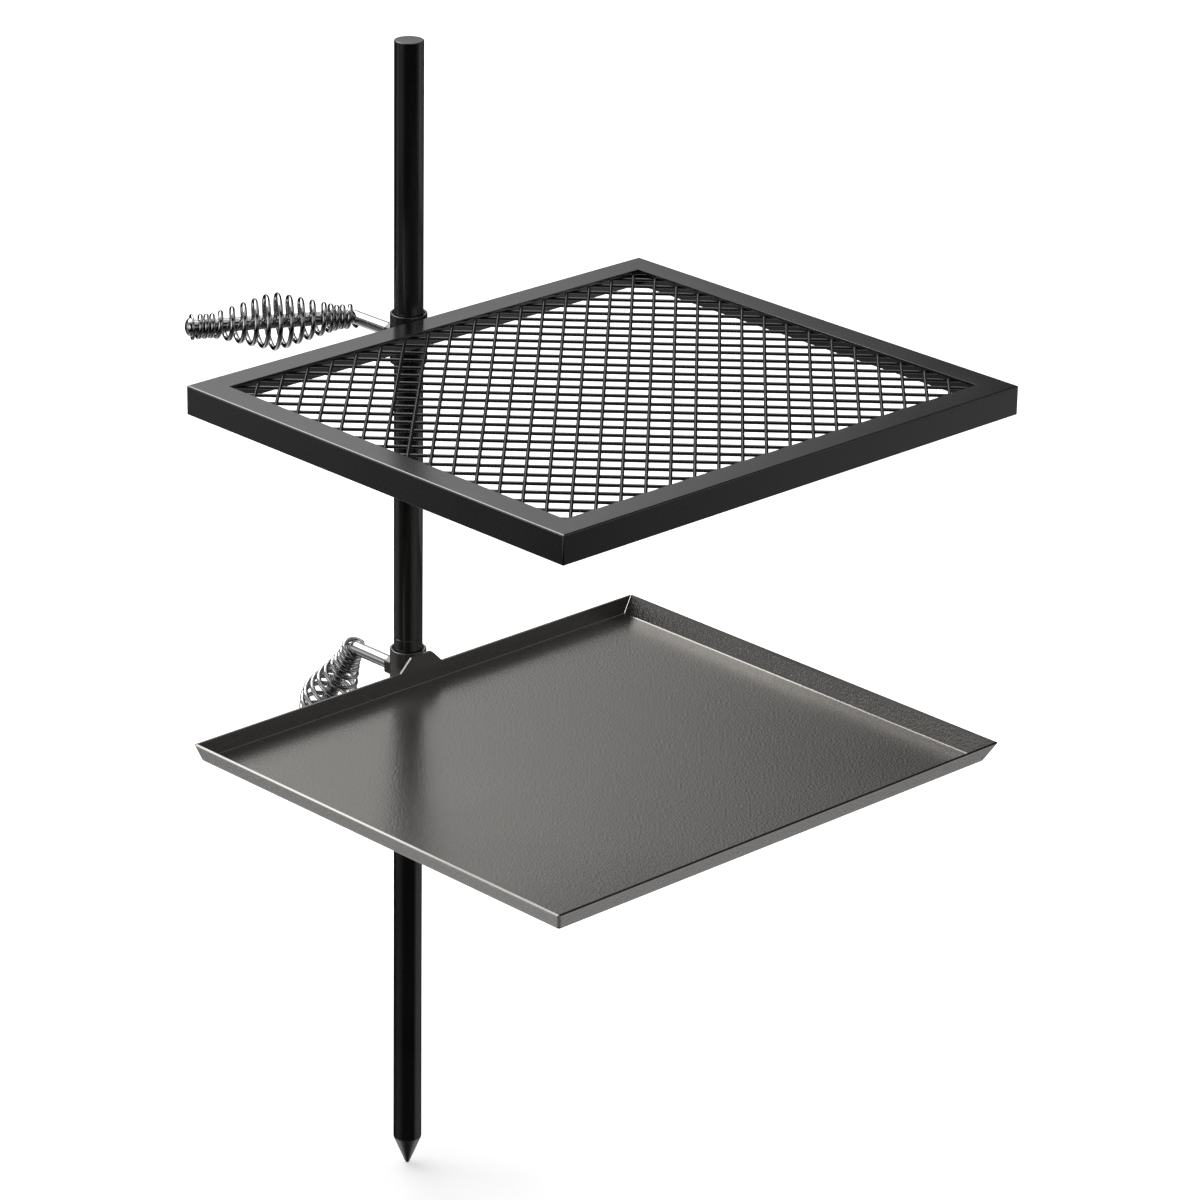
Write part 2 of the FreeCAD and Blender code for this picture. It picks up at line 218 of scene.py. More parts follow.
# %% Black coat
black_coat = finish("satin_black_coat", "black_coat", gloss=(0.18, 0.24),
                    colours=((0.0030, 0.0030, 0.0030), (0.0055, 0.0054, 0.0052)),
                    peel_scale=700.0, drift_scale=14.0, bump=0.05, depth=0.2, IOR=2.2)

# %% [markdown]
# ## Tray coat
# The tray is lacquered steel: nearly a dark metal, with a little plain colour under it and a coarse,
# leathery peel. Where the reflection on its floor changes from light to dark, as under the post, the bumps
# catch it and show as grain. The walls are rougher than the floor, and the rim and the tab are rubbed
# smooth. In the fold at the back the coat is made less metal, so that its plain grey shows as a paler line:
# a painted highlight. Near the top of the other three rims it is made fully metal, which takes that grey
# away and paints their cut edges as dark lines: painted shade. Masks could be painted, but all of this
# follows the height and the depth on the tray, so plain ramps along Z and Y are enough.

# %% Tray coat
TRAY_HEIGHT = 13.9
TRAY_SHEET = 1.5
TRAY_METAL = 0.91
FOLD_HIGHLIGHT_METAL = 0.35
WALL_ROUGHENING = 4.2
MIDDLE_OF_PEEL = 0.5
WALL_FADE = (0.6, 2.1)
RIM_FADE = (-1.8, -0.6)
FOLD_FOOT = (0.05, 0.2)
FOLD_HEAD = (0.6, 0.8)
FOLD_DEPTH = (-2.3, -1.6)
DARK_RIM_END = (-7.8, -3.8)
tray_low, tray_high = frame_box("tray_pan")
TRAY_FLOOR = tray_low.z + TRAY_SHEET
TRAY_RIM = tray_low.z + TRAY_HEIGHT
BACK_WALL = tray_high.y - TRAY_SHEET

tray_coat = finish("warm_grey_coat", "tray_coat", gloss=(0.19, 0.25),
                   colours=((0.233, 0.224, 0.212), (0.257, 0.248, 0.235)),
                   peel_scale=560.0, drift_scale=9.0, bump=0.44, depth=0.3, drawn=1.25)
tree = tray_coat.node_tree
on_tray = node(tree, "SeparateXYZ", Vector=object_place(tree)).outputs


def graded(axis, origin, fade, low, high):
    """Goes from low to high over a fade: its start and end, in millimetres from an origin on an axis."""
    return ranged(tree, on_tray[axis], low, high, *[(origin + place) * MM for place in fade])


wall = graded("Z", TRAY_FLOOR, WALL_FADE, 1.0, WALL_ROUGHENING)
below_rim = graded("Z", TRAY_RIM, RIM_FADE, 1.0, 0.0)
bumps = combined(tree, "SUBTRACT", tree.nodes["grain"].outputs["Peel"], MIDDLE_OF_PEEL)
fill(tree, tree.nodes["Bump"].inputs["Height"], combined(tree, "MULTIPLY", bumps, wall, below_rim))

# A paler band along the back fold, where the coat is made less metal so that its plain grey shows: a
# painted highlight.
off_floor = graded("Z", TRAY_FLOOR, FOLD_FOOT, 0.0, 1.0)
below_wall = graded("Z", TRAY_FLOOR, FOLD_HEAD, 1.0, 0.0)
at_back = graded("Y", BACK_WALL, FOLD_DEPTH, 0.0, 1.0)
painted_fold_highlight = combined(tree, "MULTIPLY", off_floor, below_wall, at_back)
# Near the top of the three rims away from the back the coat is fully metal, which drops the plain grey and
# paints their cut edges as dark lines: painted shade.
at_rim = graded("Z", TRAY_RIM, RIM_FADE, 0.0, 1.0 - TRAY_METAL)
off_back = graded("Y", BACK_WALL, DARK_RIM_END, 1.0, 0.0)
painted_dark_rim = combined(tree, "MULTIPLY", at_rim, off_back)
metal = combined(tree, "ADD", ranged(tree, painted_fold_highlight, TRAY_METAL, FOLD_HIGHLIGHT_METAL), painted_dark_rim)
fill(tree, tree.nodes["Principled BSDF"].inputs["Metallic"], metal)
print("tray coat:", len(tree.nodes), "nodes")
print("tray floor and rim in mm:", round(TRAY_FLOOR, 1), round(TRAY_RIM, 1))

# %% [markdown]
# ## Bright plate
# The clamp rods, the coils and their caps are polished and plated. Plating is a mirror with a faint haze,
# so the metal is nearly white and its roughness is low. A perfect mirror would look computed, which is why
# both drift slowly along the wire.

# %% Bright plate
bright_plate = finish("polished_plate", "bright_plate", gloss=(0.03, 0.07),
                      colours=((0.60, 0.60, 0.605), (0.67, 0.67, 0.67)),
                      peel_scale=900.0, drift_scale=60.0, bump=0.005, depth=0.1, Metallic=1.0)

# %% [markdown]
# ## Nut steel and liner steel
# The clamp nuts are plain dull steel. The liners inside the collars are darker still, near black, which
# paints the shade in the narrow gap between collar and post. Both are metals with a rougher drift. The
# liner's peel is drawn out, like the marks of rolling.

# %% Steels
nut_steel = finish("dull_nut_steel", "nut_steel", gloss=(0.24, 0.38),
                   colours=((0.11, 0.108, 0.104), (0.17, 0.167, 0.162)),
                   peel_scale=800.0, drift_scale=90.0, bump=0.08, depth=0.2, Metallic=1.0)
# The liner's near-black colour is painted shade for the gap round the post.
liner_steel = finish("gap_shade_liner_steel", "liner_steel", gloss=(0.35, 0.5),
                     colours=((0.05, 0.05, 0.05), (0.10, 0.10, 0.095)),
                     peel_scale=800.0, drift_scale=60.0, bump=0.08, depth=0.2, drawn=0.2, Metallic=1.0)

# %% [markdown]
# ## From a mesh to a piece
# Every piece ends the same way: the bmesh becomes a mesh, is shaded smooth except at real corners, gets its
# finish, rides on its body, and takes the place of its CAD node. Large flat faces next to rounded edges
# would shade as if they bulged, so a Weighted Normal modifier keeps them flat.

# %% Piece helpers
def mesh_from(name, shape):
    """Makes a bmesh into a mesh and frees it."""
    mesh = bpy.data.meshes.new(name)
    shape.to_mesh(mesh)
    shape.free()
    return mesh


def shown(name, mesh, body, coat, *nodes):
    """Makes an object that rides on a body and stands for CAD nodes."""
    piece = bpy.data.objects.new(name, mesh)
    bpy.context.collection.objects.link(piece)
    piece.data.materials.append(coat)
    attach(piece, body)
    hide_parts(*nodes)
    print(name, "on", body, "with", len(mesh.polygons), "faces")
    return piece


def piece_from(name, shape, body, coat, *nodes, crease=40):
    """Turns a bmesh into a shown piece. Edges sharper than the crease, in degrees, stay sharp."""
    mesh = mesh_from(name, shape)
    mesh.shade_smooth()
    mesh.set_sharp_from_angle(angle=math.radians(crease))
    piece = shown(name, mesh, body, coat, *nodes)
    flat = piece.modifiers.new("flat_faces", "WEIGHTED_NORMAL")
    flat.keep_sharp = True
    return piece


# %% [markdown]
# ## The post
# The post is two steel bars that screw together on a hidden stud, so that it packs short. Both are turned
# parts, and a cylinder with cut ends would do, but half an outline spun round the post's axis gives the
# point, the bevels and the bore in one go. The lower bar ends in a point, and where the two meet each has a
# fine bevel, which shows as a thin ring above the tray.

# %% Turning and rounding
SAME_PLACE = 0.005 * MM


def turned(outline, closed=False, steps=96):
    """Spins (radius, height) points in millimetres round the upright axis."""
    shape = bmesh.new()
    corners = [shape.verts.new((radius * MM, 0.0, height * MM)) for radius, height in outline]
    for a, b in zip(corners, corners[1:] + corners[:1] if closed else corners[1:]):
        shape.edges.new((a, b))
    bmesh.ops.spin(shape, geom=shape.verts[:] + shape.edges[:], axis=(0, 0, 1), cent=(0, 0, 0),
                   angle=math.tau, steps=steps, use_merge=True)
    bmesh.ops.remove_doubles(shape, verts=shape.verts, dist=SAME_PLACE)
    bmesh.ops.recalc_face_normals(shape, faces=shape.faces)
    return shape


def angle_edges(shape, degrees):
    """The edges where two faces meet at more than this angle."""
    return [e for e in shape.edges if e.is_manifold and e.calc_face_angle() > math.radians(degrees)]


def ring_at(edges, height):
    """Those of the edges that lie at a height in millimetres."""
    return [e for e in edges if all(abs(v.co.z - height * MM) < SAME_PLACE for v in e.verts)]


def soften(shape, edges, width, segments=3):
    """Rounds edges over by a width in millimetres."""
    bmesh.ops.bevel(shape, geom=edges, offset=width * MM, offset_type="OFFSET", affect="EDGES",
                    segments=segments, profile=0.5, material=-1)


# %% Post and stake
BLUNT_TIP = [(0.0, 0.0), (1.0, 0.25), (1.5, 0.75)]
POINT_LENGTH = 21.8
POINT_ROUNDING = 0.5
TOP_ROUNDING = 0.6
SEAM_BEVEL = 0.3
STUD_BORE = 5.05
post_top = frame_box("upper_post")[1]
POST_RADIUS = post_top.x
POST_HEIGHT = post_top.z
SEAM = frame_box("lower_stake")[1].z
STUD_FOOT, STUD_TOP = [corner.z for corner in frame_box("joining_stud")]

stake = turned(BLUNT_TIP + [(POST_RADIUS, POINT_LENGTH), (POST_RADIUS, SEAM - SEAM_BEVEL),
                            (POST_RADIUS - SEAM_BEVEL, SEAM), (STUD_BORE, SEAM), (STUD_BORE, STUD_FOOT),
                            (0, STUD_FOOT)])
soften(stake, ring_at(angle_edges(stake, 15), POINT_LENGTH), POINT_ROUNDING)
piece_from("stake_bar", stake, "post", black_coat, "lower_stake", crease=30)

post = turned([(0, STUD_TOP), (STUD_BORE, STUD_TOP), (STUD_BORE, SEAM), (POST_RADIUS - SEAM_BEVEL, SEAM),
               (POST_RADIUS, SEAM + SEAM_BEVEL), (POST_RADIUS, POST_HEIGHT), (0, POST_HEIGHT)])
soften(post, ring_at(angle_edges(post, 60), POST_HEIGHT), TOP_ROUNDING)
piece_from("post_bar", post, "post", black_coat, "upper_post", crease=50)

# %% [markdown]
# The stud is hidden inside the post, so its CAD node stays as it is and only gets its finish.

# %% Joining stud
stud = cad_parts["joining_stud"]
stud.data.materials.clear()
stud.data.materials.append(liner_steel)
print("stud from", round(STUD_FOOT, 1), "to", round(STUD_TOP, 1), "mm")

# %% [markdown]
# ## Cutting with a boolean
# A collar has a hole for its clamp screw, and a nut has a saddle that fits the collar. Such a curve on a
# curve is hard to draw point by point, so both are boolean cuts. The two shapes become objects for a
# moment, the modifier is evaluated, and only the result is kept, so nothing is left in the scene.

# %% Carving helpers
def held(name, shape):
    """Puts a bmesh into the scene for a moment, so that a modifier can work on it."""
    piece = bpy.data.objects.new(name, mesh_from(name, shape))
    bpy.context.collection.objects.link(piece)
    return piece


def released(*pieces):
    """The first piece as a bmesh, with its modifier applied. All the pieces leave the scene."""
    shape = bmesh.new()
    shape.from_object(pieces[0], bpy.context.evaluated_depsgraph_get())
    for piece in pieces:
        mesh = piece.data
        bpy.data.objects.remove(piece)
        bpy.data.meshes.remove(mesh)
    return shape


def carve(stock, cutter):
    """Cuts one bmesh out of another and returns what is left."""
    stock = held("stock", stock)
    cutter = held("cutter", cutter)
    cut = stock.modifiers.new("cut", "BOOLEAN")
    cut.object = cutter
    cut.solver = "EXACT"
    return released(stock, cutter)


def bar_between(shape, radius, start, end, sides):
    """Adds a round bar from one point to another, in millimetres."""
    a, b = Vector(start) * MM, Vector(end) * MM
    place = Matrix.Translation((a + b) / 2) @ (b - a).to_track_quat("Z", "Y").to_matrix().to_4x4()
    bmesh.ops.create_cone(shape, cap_ends=True, segments=sides, radius1=radius * MM, radius2=radius * MM,
                          depth=(b - a).length, matrix=place)


def drill(radius, start, end):
    """A round bar to cut with, from one point to another, in millimetres."""
    shape = bmesh.new()
    bar_between(shape, radius, start, end, sides=64)
    return shape


# %% [markdown]
# ## Collars and liners
# A collar is a short sleeve, welded to the plate it carries. Its bore is a little wider than the post, and
# a thin liner fills that gap except at the ends, so each rim shows a bright ring and a dark line inside it.
# Two cylinders could be cut from each other, but a closed outline, spun like the post's, is cleaner, and
# its rims can be rounded over before the screw hole is cut.

# %% Collars and liners
TIERS = ("grate", "tray")
COAT_OF = {"grate": black_coat, "tray": tray_coat}
COLLAR_BORE = 10.9
RIM_ROUNDING = 0.45
LINER_GAP = 0.06
LINER_INSET = 1.2
ROD_BORE = 4.8
COLLAR_RADIUS = frame_box("grate_collar")[1].x
COLLAR_SPAN = {tier: [corner.z for corner in frame_box(tier + "_collar")] for tier in TIERS}
ROD_HEIGHT = {tier: (base + top) / 2 for tier, (base, top) in COLLAR_SPAN.items()}


def sleeve(outer, inner, base, top):
    """A tube round the post, in millimetres."""
    return turned([(outer, base), (outer, top), (inner, top), (inner, base)], closed=True)


for tier, (base, top) in COLLAR_SPAN.items():
    tube = sleeve(COLLAR_RADIUS, COLLAR_BORE, base, top)
    soften(tube, angle_edges(tube, 60), RIM_ROUNDING)
    middle = ROD_HEIGHT[tier]
    tube = carve(tube, drill(ROD_BORE, (0, POST_RADIUS / 2, middle), (0, 2 * POST_RADIUS, middle)))
    piece_from(tier + "_sleeve", tube, tier, COAT_OF[tier], tier + "_collar")
    lining = sleeve(COLLAR_BORE - LINER_GAP, POST_RADIUS + LINER_GAP, base + LINER_INSET, top - LINER_INSET)
    piece_from(tier + "_lining", lining, tier + "_slider", liner_steel, tier + "_liner")

# %% [markdown]
# ## Clamp nuts
# Each collar has a hexagon nut welded to its side for the clamp screw. A six-sided cylinder would be a
# start, but here a hexagon is drawn out along the screw from the post's axis, so that its outer face lands
# where the frame has it. Its edges are rounded as worn tooling leaves them, and then the collar's curve and
# the screw hole are cut from it.

# %% Clamp nuts
NUT_ROUNDING = 0.8
nut_low, nut_high = frame_box("grate_clamp_nut")
NUT_FLATS = nut_high.x - nut_low.x
NUT_FACE = nut_high.y


def verts_in(geom):
    """The vertices among what an operator made."""
    return [g for g in geom if isinstance(g, bmesh.types.BMVert)]


def push_out(shape, along):
    """Draws the faces of a flat shape out to a closed bar, along a vector in millimetres."""
    made = bmesh.ops.extrude_face_region(shape, geom=shape.faces[:])["geom"]
    bmesh.ops.translate(shape, vec=Vector(along) * MM, verts=verts_in(made))
    bmesh.ops.recalc_face_normals(shape, faces=shape.faces)


def facing_y(y, height):
    """Stands a flat shape up across the screw's line, at a place in millimetres."""
    return Matrix.Translation((0, y * MM, height * MM)) @ Matrix.Rotation(math.radians(90), 4, "X")


for tier, height in ROD_HEIGHT.items():
    nut = bmesh.new()
    bmesh.ops.create_circle(nut, cap_ends=True, segments=6, radius=NUT_FLATS / math.sqrt(3) * MM,
                            matrix=facing_y(0, height))
    push_out(nut, (0, NUT_FACE, 0))
    soften(nut, [e for e in nut.edges if max(v.co.y for v in e.verts) > SAME_PLACE], NUT_ROUNDING)
    nut = carve(nut, drill(COLLAR_RADIUS, (0, 0, height - NUT_FLATS), (0, 0, height + NUT_FLATS)))
    nut = carve(nut, drill(ROD_BORE, (0, 0, height), (0, 2 * NUT_FACE, height)))
    piece_from(tier + "_hex_nut", nut, tier, nut_steel, tier + "_clamp_nut", crease=35)

# %% [markdown]
# ## Clamp rods
# The clamp handle is one round rod with a single bend. A curve with a bevel would give it too, but here it
# is modelled the way it is made: a circle is drawn out straight, swept round the bend with a spin, and
# drawn out straight again. Its inner end is chamfered where it presses on the liner.

# %% Rod helpers
HANDLE_TURN = {"grate": 0.0, "tray": -88.0}


def handle_place(tier):
    """Takes a handle piece from its own frame, screw on Y, to its collar."""
    up = Matrix.Translation((0, 0, ROD_HEIGHT[tier] * MM))
    return up @ Matrix.Rotation(math.radians(HANDLE_TURN[tier]), 4, "Y")


def edges_in(geom):
    """The edges among what an operator made."""
    return [g for g in geom if isinstance(g, bmesh.types.BMEdge)]


def ends_of(edges):
    """The vertices of some edges, each of them once."""
    return list(dict.fromkeys(v for e in edges for v in e.verts))


def draw_out(shape, rim, along):
    """Extrudes an open rim of edges along a vector in millimetres and returns the new rim."""
    made = bmesh.ops.extrude_edge_only(shape, edges=rim)["geom"]
    bmesh.ops.translate(shape, vec=along * MM, verts=verts_in(made))
    return [e for e in edges_in(made) if e.is_boundary]


# %% Clamp rods
ROD_RADIUS = 4.75
ROD_REACH = 57.0
ROD_CHAMFER = 1.0
ROD_TIP_GAP = 0.05
ROD_TIP = COLLAR_BORE - LINER_GAP + ROD_TIP_GAP
LEG_LENGTH = 113.1
BEND_RADIUS = 6.0
BEND = math.radians(61)
BEND_SETBACK = BEND_RADIUS * math.tan(BEND / 2)
SCREW = Vector((0, 1, 0))
LEG = Vector((-math.sin(BEND), math.cos(BEND), 0))


def bent_rod():
    """A clamp rod with its screw on Y and its leg turned to the left."""
    shape = bmesh.new()
    tip = ROD_RADIUS - ROD_CHAMFER
    bmesh.ops.create_circle(shape, cap_ends=True, segments=48, radius=tip * MM, matrix=facing_y(ROD_TIP, 0))
    rim = draw_out(shape, shape.edges[:], SCREW * ROD_CHAMFER)
    bmesh.ops.scale(shape, vec=(ROD_RADIUS / tip, 1, ROD_RADIUS / tip), verts=ends_of(rim))
    bend_start = ROD_REACH - BEND_SETBACK
    rim = draw_out(shape, rim, SCREW * (bend_start - ROD_TIP - ROD_CHAMFER))
    swept = bmesh.ops.spin(shape, geom=rim, axis=(0, 0, 1), cent=(-BEND_RADIUS * MM, bend_start * MM, 0),
                           angle=BEND, steps=24)["geom_last"]
    rim = draw_out(shape, edges_in(swept), LEG * (LEG_LENGTH - BEND_SETBACK))
    bmesh.ops.contextual_create(shape, geom=rim)
    bmesh.ops.remove_doubles(shape, verts=shape.verts, dist=SAME_PLACE)
    bmesh.ops.recalc_face_normals(shape, faces=shape.faces)
    return shape


for tier in TIERS:
    rod = bent_rod()
    bmesh.ops.transform(rod, matrix=handle_place(tier), verts=rod.verts)
    piece_from(tier + "_bent_rod", rod, tier + "_clamp", bright_plate, tier + "_clamp_rod")

# %% [markdown]
# ## Grip caps
# A pressed cap closes each handle: a flat washer with a low dome, like a push-on fastener. A squashed
# sphere on a disc would leave a seam, so cap and seat are one outline whose dome is a quarter of an
# ellipse. It is turned round the leg's own axis and then carried to the end of the leg.

# %% Grip caps
UP = Vector((0, 0, 1))
CAP_SEAT = 2.7
CAP_CLEARANCE = 0.01
CAP_BORE = ROD_RADIUS + CAP_CLEARANCE
CAP_START = LEG_LENGTH - CAP_SEAT
FLANGE_RADIUS = 9.0
FLANGE = 1.5
FLANGE_ROUNDING = 0.5
DOME_RADIUS = 6.5
DOME_HEIGHT = 4.1
DOME_ARC = [math.radians(15 * step) for step in range(7)]
DOME = [(DOME_RADIUS * math.cos(a), FLANGE + DOME_HEIGHT * math.sin(a)) for a in DOME_ARC]
SEAT = [(0, CAP_SEAT), (CAP_BORE, CAP_SEAT), (CAP_BORE, 0), (FLANGE_RADIUS, 0), (FLANGE_RADIUS, FLANGE)]


def on_leg(tier):
    """Takes a piece that is modelled round +Z to the leg of a handle. Its +X turns to face up."""
    leg_axes = Matrix((UP, LEG.cross(UP), LEG)).transposed().to_4x4()
    return handle_place(tier) @ Matrix.Translation((0, ROD_REACH * MM, 0)) @ leg_axes


for tier in TIERS:
    cap = turned(SEAT + DOME, steps=64)
    off_dome = DOME_RADIUS * MM + SAME_PLACE
    flange_rim = [e for e in angle_edges(cap, 60) if min(v.co.xy.length for v in e.verts) > off_dome]
    soften(cap, flange_rim, FLANGE_ROUNDING)
    bmesh.ops.translate(cap, vec=UP * CAP_START * MM, verts=cap.verts)
    bmesh.ops.transform(cap, matrix=on_leg(tier), verts=cap.verts)
    piece_from(tier + "_domed_cap", cap, tier + "_clamp", bright_plate, tier + "_grip_cap")

# %% [markdown]
# ## Grip coils
# The grip is one spring wire, wound close at both ends and open in the middle, where it swells to a barrel.
# Air between the turns keeps it cool. A Screw modifier winds only at one pitch and one radius, so a curve
# is the natural way: its points follow the winding, and its bevel gives it the wire's thickness. It is
# turned into a mesh at the end, as every piece is.

# %% Winding
WIRE_RADIUS = 1.75
WIRE_TIP = 0.8
COIL_START = -2.25
COIL_START_ANGLE = math.radians(-170)
COIL_CAP_GAP = 0.05
COIL_END = CAP_START - COIL_CAP_GAP - WIRE_RADIUS
END_RADIUS = 6.9
PEAK_RADIUS = 18.75
PEAK_AT = 53.7
PEAK_ROUNDING = 4.0
BARREL_TAPER = 0.275
CLOSE_PITCH = 4.1

# Each run of the winding is its turns and its pitch: past the bend, close, open, and close up to the cap.
RUNS = [(0.78, 8.0), (3.58, CLOSE_PITCH), (9.59, 7.92)]
wound = COIL_START + sum(turns * pitch for turns, pitch in RUNS)
RUNS.append(((COIL_END - wound) / CLOSE_PITCH, CLOSE_PITCH))
COIL_TURNS = sum(turns for turns, pitch in RUNS)


def coil_point(turn):
    """The middle of the wire after a number of turns, round +Z, in millimetres."""
    height, left = COIL_START, turn
    for turns, pitch in RUNS:
        height += min(max(left, 0.0), turns) * pitch
        left -= turns
    away = abs(height - PEAK_AT)
    if away < PEAK_ROUNDING:
        away = (away * away / PEAK_ROUNDING + PEAK_ROUNDING) / 2
    radius = max(END_RADIUS, PEAK_RADIUS - BARREL_TAPER * away)
    angle = COIL_START_ANGLE - math.tau * turn
    return Vector((radius * math.cos(angle), radius * math.sin(angle), height))


print("coil:", round(COIL_TURNS, 2), "turns over", round(COIL_END - COIL_START, 1), "mm")

# %% Grip coils
POINTS_PER_TURN = 40

for tier in TIERS:
    path = bpy.data.curves.new(tier + "_coil_path", "CURVE")
    path.dimensions = "3D"
    path.bevel_depth = WIRE_RADIUS * MM
    path.bevel_resolution = 6
    path.use_fill_caps = True
    count = round(COIL_TURNS * POINTS_PER_TURN)
    winding = path.splines.new("POLY")
    winding.points.add(count)
    for step, point in enumerate(winding.points):
        point.co = (*(on_leg(tier) @ (coil_point(COIL_TURNS * step / count) * MM)), 1.0)
    for end in (0, -1):
        winding.points[end].radius = WIRE_TIP
    bent_wire = bpy.data.objects.new(tier + "_coil_path", path)
    mesh = bpy.data.meshes.new_from_object(bent_wire)
    bpy.data.objects.remove(bent_wire)
    mesh.name = tier + "_coil_wire"
    mesh.shade_smooth()
    mesh.set_sharp_from_angle(angle=math.radians(50))
    mesh.materials.clear()
    shown(tier + "_coil_wire", mesh, tier + "_clamp", bright_plate, tier + "_grip_coil")

# %% [markdown]
# ## Grate frame
# Four lengths of angle bar make the frame, each cut at 45 degrees and welded at the corners, where a stroke
# of the grinder leaves a small flat. A frame could be extruded in one piece, but a rail of its own shows
# the mitres. It starts as its L section, is drawn out along its length, has its long edges rounded, and is
# then cut at both ends, so that the rounded edges run through the corners without a step.

# %% Mitred bar
BAR_WALL = 2.0
BAR_SPARE = 1.0
OUTER_ROUNDING = 1.2
EDGE_ROUNDING = 0.3
CORNER_FLAT = 0.85
CUT_SNAP = 0.0001 * MM
back_low, back_high = frame_box("grate_rail_back")
BAR_LEG = back_high.z - back_low.z
BAR_SECTION = [(0, 0), (-BAR_LEG, 0), (-BAR_LEG, -BAR_WALL), (-BAR_WALL, -BAR_WALL), (-BAR_WALL, -BAR_LEG),
               (0, -BAR_LEG)]


def trim(shape, place, outwards):
    """Cuts off what lies outside a plane and closes the cut."""
    bmesh.ops.bisect_plane(shape, geom=shape.verts[:] + shape.edges[:] + shape.faces[:], dist=CUT_SNAP,
                           plane_co=place, plane_no=outwards, clear_outer=True)
    bmesh.ops.holes_fill(shape, edges=[e for e in shape.edges if e.is_boundary])


def mitred_bar(length):
    """A rail along X with its outer face on y = 0 and its top on z = 0."""
    half = length / 2
    shape = bmesh.new()
    shape.faces.new([shape.verts.new((-(half + BAR_SPARE) * MM, y * MM, z * MM)) for y, z in BAR_SECTION])
    push_out(shape, (length + 2 * BAR_SPARE, 0, 0))
    ridge = [e for e in shape.edges if all(v.co.y == 0 and v.co.z == 0 for v in e.verts)]
    soften(shape, ridge, OUTER_ROUNDING, segments=5)
    lengthwise = [e for e in angle_edges(shape, 60) if e.calc_length() > half * MM]
    soften(shape, lengthwise, EDGE_ROUNDING, segments=2)
    for side in (-1, 1):
        trim(shape, (side * half * MM, 0, 0), (side, -1, 0))
        trim(shape, (side * (half - CORNER_FLAT) * MM, 0, 0), (side, 1, 0))
    bmesh.ops.recalc_face_normals(shape, faces=shape.faces)
    return shape


# %% Grate frame
grate_front = frame_box("grate_rail_front")[0].y
GRATE_WIDTH = back_high.x - back_low.x
GRATE_DEPTH = back_high.y - grate_front
GRATE_TOP = back_high.z
GRATE_MIDDLE = Vector((0, (back_high.y + grate_front) / 2, GRATE_TOP))
RAILS = {"back": (GRATE_WIDTH, GRATE_DEPTH, 0), "left": (GRATE_DEPTH, GRATE_WIDTH, 90),
         "front": (GRATE_WIDTH, GRATE_DEPTH, 180), "right": (GRATE_DEPTH, GRATE_WIDTH, 270)}

for side, (length, across, turn) in RAILS.items():
    bar = mitred_bar(length)
    out_to_side = Matrix.Translation((0, across / 2 * MM, 0))
    round_frame = Matrix.Translation(GRATE_MIDDLE * MM) @ Matrix.Rotation(math.radians(turn), 4, "Z")
    bmesh.ops.transform(bar, matrix=round_frame @ out_to_side, verts=bar.verts)
    piece_from("angle_bar_" + side, bar, "grate", black_coat, "grate_rail_" + side, crease=50)

# %% [markdown]
# ## Grate wires
# The cooking grid is two layers of straight wire, crossed at right angles and set at 45 degrees to the
# frame, and the coat makes each wire a little thicker. An array cut to shape would do for the grid, but the
# ends of the wires are tucked under the frame. So each wire is a round bar of its own, as long as the frame
# leaves for it, and twelve sides are enough for something so thin.

# %% Grate wires
GRID_WIRE = 0.9
GRID_COAT = 0.3
GRID_PITCH = 14.92
GRID_INSET = 7.0
WIRES_EACH_SIDE = math.ceil(math.hypot(GRATE_WIDTH, GRATE_DEPTH) / 2 / GRID_PITCH)
GRID_LAYERS = {"upper": (1, -0.1, GRATE_TOP - BAR_WALL - GRID_WIRE),
               "lower": (-1, 5.9, GRATE_TOP - BAR_WALL - 3 * GRID_WIRE)}


def wire_span(point, along):
    """How far a wire runs back and forward from a point before it meets the frame."""
    near, far = -math.inf, math.inf
    for axis, reach in ((0, GRATE_WIDTH / 2 - GRID_INSET), (1, GRATE_DEPTH / 2 - GRID_INSET)):
        ends = sorted(((-reach - point[axis]) / along[axis], (reach - point[axis]) / along[axis]))
        near, far = max(near, ends[0]), min(far, ends[1])
    return near, far


for layer, (slope, shift, height) in GRID_LAYERS.items():
    grid = bmesh.new()
    along = Vector((1, slope, 0)).normalized()
    across = Vector((-slope, 1, 0)).normalized()
    middle = Vector((0, GRATE_MIDDLE.y, height))
    wires = 0
    for place in range(-WIRES_EACH_SIDE, WIRES_EACH_SIDE + 1):
        point = across * (place * GRID_PITCH - shift)
        near, far = wire_span(point, along)
        if far - near > GRID_PITCH:
            start, end = middle + point + along * near, middle + point + along * far
            bar_between(grid, GRID_WIRE + GRID_COAT, start, end, sides=12)
            wires += 1
    print(layer, "layer:", wires, "wires")
    piece_from("grid_" + layer, grid, "grate", black_coat, "grate_wires_" + layer, crease=50)

# %% [markdown]
# ## Tray
# The tray is one sheet, folded up on four sides. Three walls lean outwards and the back one stands
# straight, with a tab in the middle that is welded to the collar. A box could be hollowed out, but the
# folds come out better when the outside of the sheet is modelled first: a flat floor whose edges are drawn
# up into walls.

# %% Tray outside
TRAY_FLARE = 7.1
TRAY_BACK = tray_high.y
TRAY_FRONT = tray_low.y
TRAY_WIDTH = tray_high.x - tray_low.x
FLOOR_WIDTH = TRAY_WIDTH - 2 * TRAY_FLARE
FLOOR_DEPTH = TRAY_BACK - TRAY_FRONT - TRAY_FLARE

